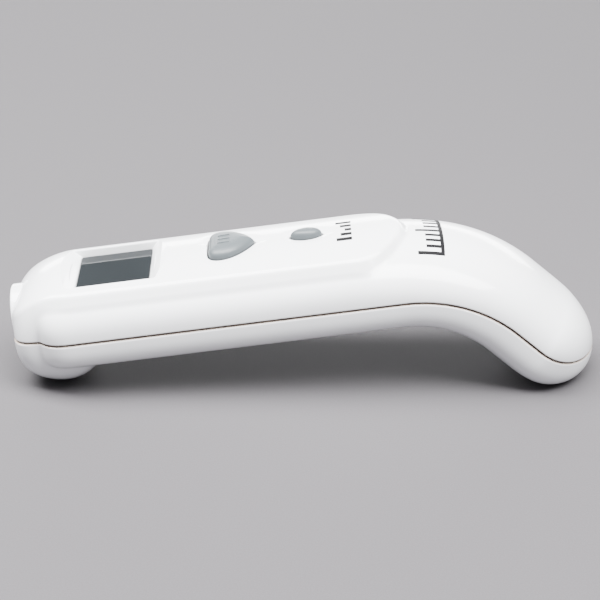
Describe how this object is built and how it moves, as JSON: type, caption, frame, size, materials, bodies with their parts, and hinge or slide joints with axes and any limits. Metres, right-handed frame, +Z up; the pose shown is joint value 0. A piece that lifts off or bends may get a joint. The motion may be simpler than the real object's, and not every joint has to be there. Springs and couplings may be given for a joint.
{
  "type": "handheld infrared thermometer",
  "caption": "Handheld infrared thermometer: straight barrel with front sensor ring, display and push buttons, bent handle, two-shell plastic case with sliding battery door.",
  "frame": {"origin": "centre of the footprint, on the table plane that it rests on", "axes": "+X from the sensor end to the handle's tip, +Y to the left seen from behind the handle, +Z up"},
  "size_m": [0.1606, 0.042, 0.0425],
  "materials": {
    "white_shell": "glossy injection-moulded white",
    "grey_button": "satin blue-grey",
    "tinted_window": "polished dark tint",
    "lcd_cell": "grey-green liquid crystal glass",
    "black_plastic": "matte black",
    "conductive_rubber": "striped conductive rubber",
    "clear_plastic": "milky clear",
    "board_green": "solder-masked glass-fibre board",
    "plated_steel": "nickel plated",
    "brass_block": "turned brass",
    "infrared_filter": "dark coated silicon filter",
    "ribbon_film": "amber flexible film",
    "cell_jacket": "printed metallic jacket",
    "lead_red": "red insulation",
    "lead_black": "black insulation"
  },
  "bodies": {
    "housing": {"upper_case": "white_shell", "lower_case": "white_shell", "sensor_shroud": "white_shell", "display_window": "tinted_window", "lcd_glass": "lcd_cell", "lcd_frame": "black_plastic", "scan_switch_body": "black_plastic", "mode_switch_body": "black_plastic", "controller_chip": "black_plastic", "sounder": "black_plastic", "zebra_strip_front": "conductive_rubber", "zebra_strip_rear": "conductive_rubber", "backlight_plate": "clear_plastic", "main_board": "board_green", "sensor_board": "board_green", "sensor_can": "plated_steel", "clock_crystal": "plated_steel", "supply_capacitor": "plated_steel", "positive_contact": "plated_steel", "negative_contact": "plated_steel", "bridge_contact": "plated_steel", "negative_spring": "plated_steel", "bridge_spring": "plated_steel", "case_screw_1": "plated_steel", "case_screw_2": "plated_steel", "case_screw_3": "plated_steel", "case_screw_4": "plated_steel", "case_screw_5": "plated_steel", "board_screw_1": "plated_steel", "board_screw_2": "plated_steel", "sensor_holder": "brass_block", "sensor_filter": "infrared_filter", "sensor_ribbon": "ribbon_film", "battery_1": "cell_jacket", "battery_2": "cell_jacket", "battery_lead_positive": "lead_red", "battery_lead_negative": "lead_black"},
    "scan_key": {"scan_button": "grey_button"},
    "scan_plunger": {"scan_switch_plunger": "clear_plastic"},
    "mode_key": {"mode_button": "grey_button"},
    "mode_plunger": {"mode_switch_plunger": "clear_plastic"},
    "door": {"battery_door": "white_shell"}
  },
  "joints": [
    {"name": "scan_button_press", "type": "slide", "parent": "housing", "child": "scan_key", "axis": [0.1271, 0, -0.9919], "range_m": [0, 0.0006], "stiffness_N_per_m": 2000},
    {"name": "scan_switch_press", "type": "slide", "parent": "housing", "child": "scan_plunger", "axis": [0.1271, 0, -0.9919], "range_m": [0, 0.0006]},
    {"name": "mode_button_press", "type": "slide", "parent": "housing", "child": "mode_key", "axis": [0.1271, 0, -0.9919], "range_m": [0, 0.0006], "stiffness_N_per_m": 2000},
    {"name": "mode_switch_press", "type": "slide", "parent": "housing", "child": "mode_plunger", "axis": [0.1271, 0, -0.9919], "range_m": [0, 0.0006]},
    {"name": "battery_door_slide", "type": "slide", "parent": "housing", "child": "door", "axis": [-0.9919, 0, -0.1271], "range_m": [0, 0.008]}
  ],
  "couplings": [
    {"joint": "scan_switch_press", "follows": "scan_button_press", "ratio": 1},
    {"joint": "mode_switch_press", "follows": "mode_button_press", "ratio": 1}
  ]
}
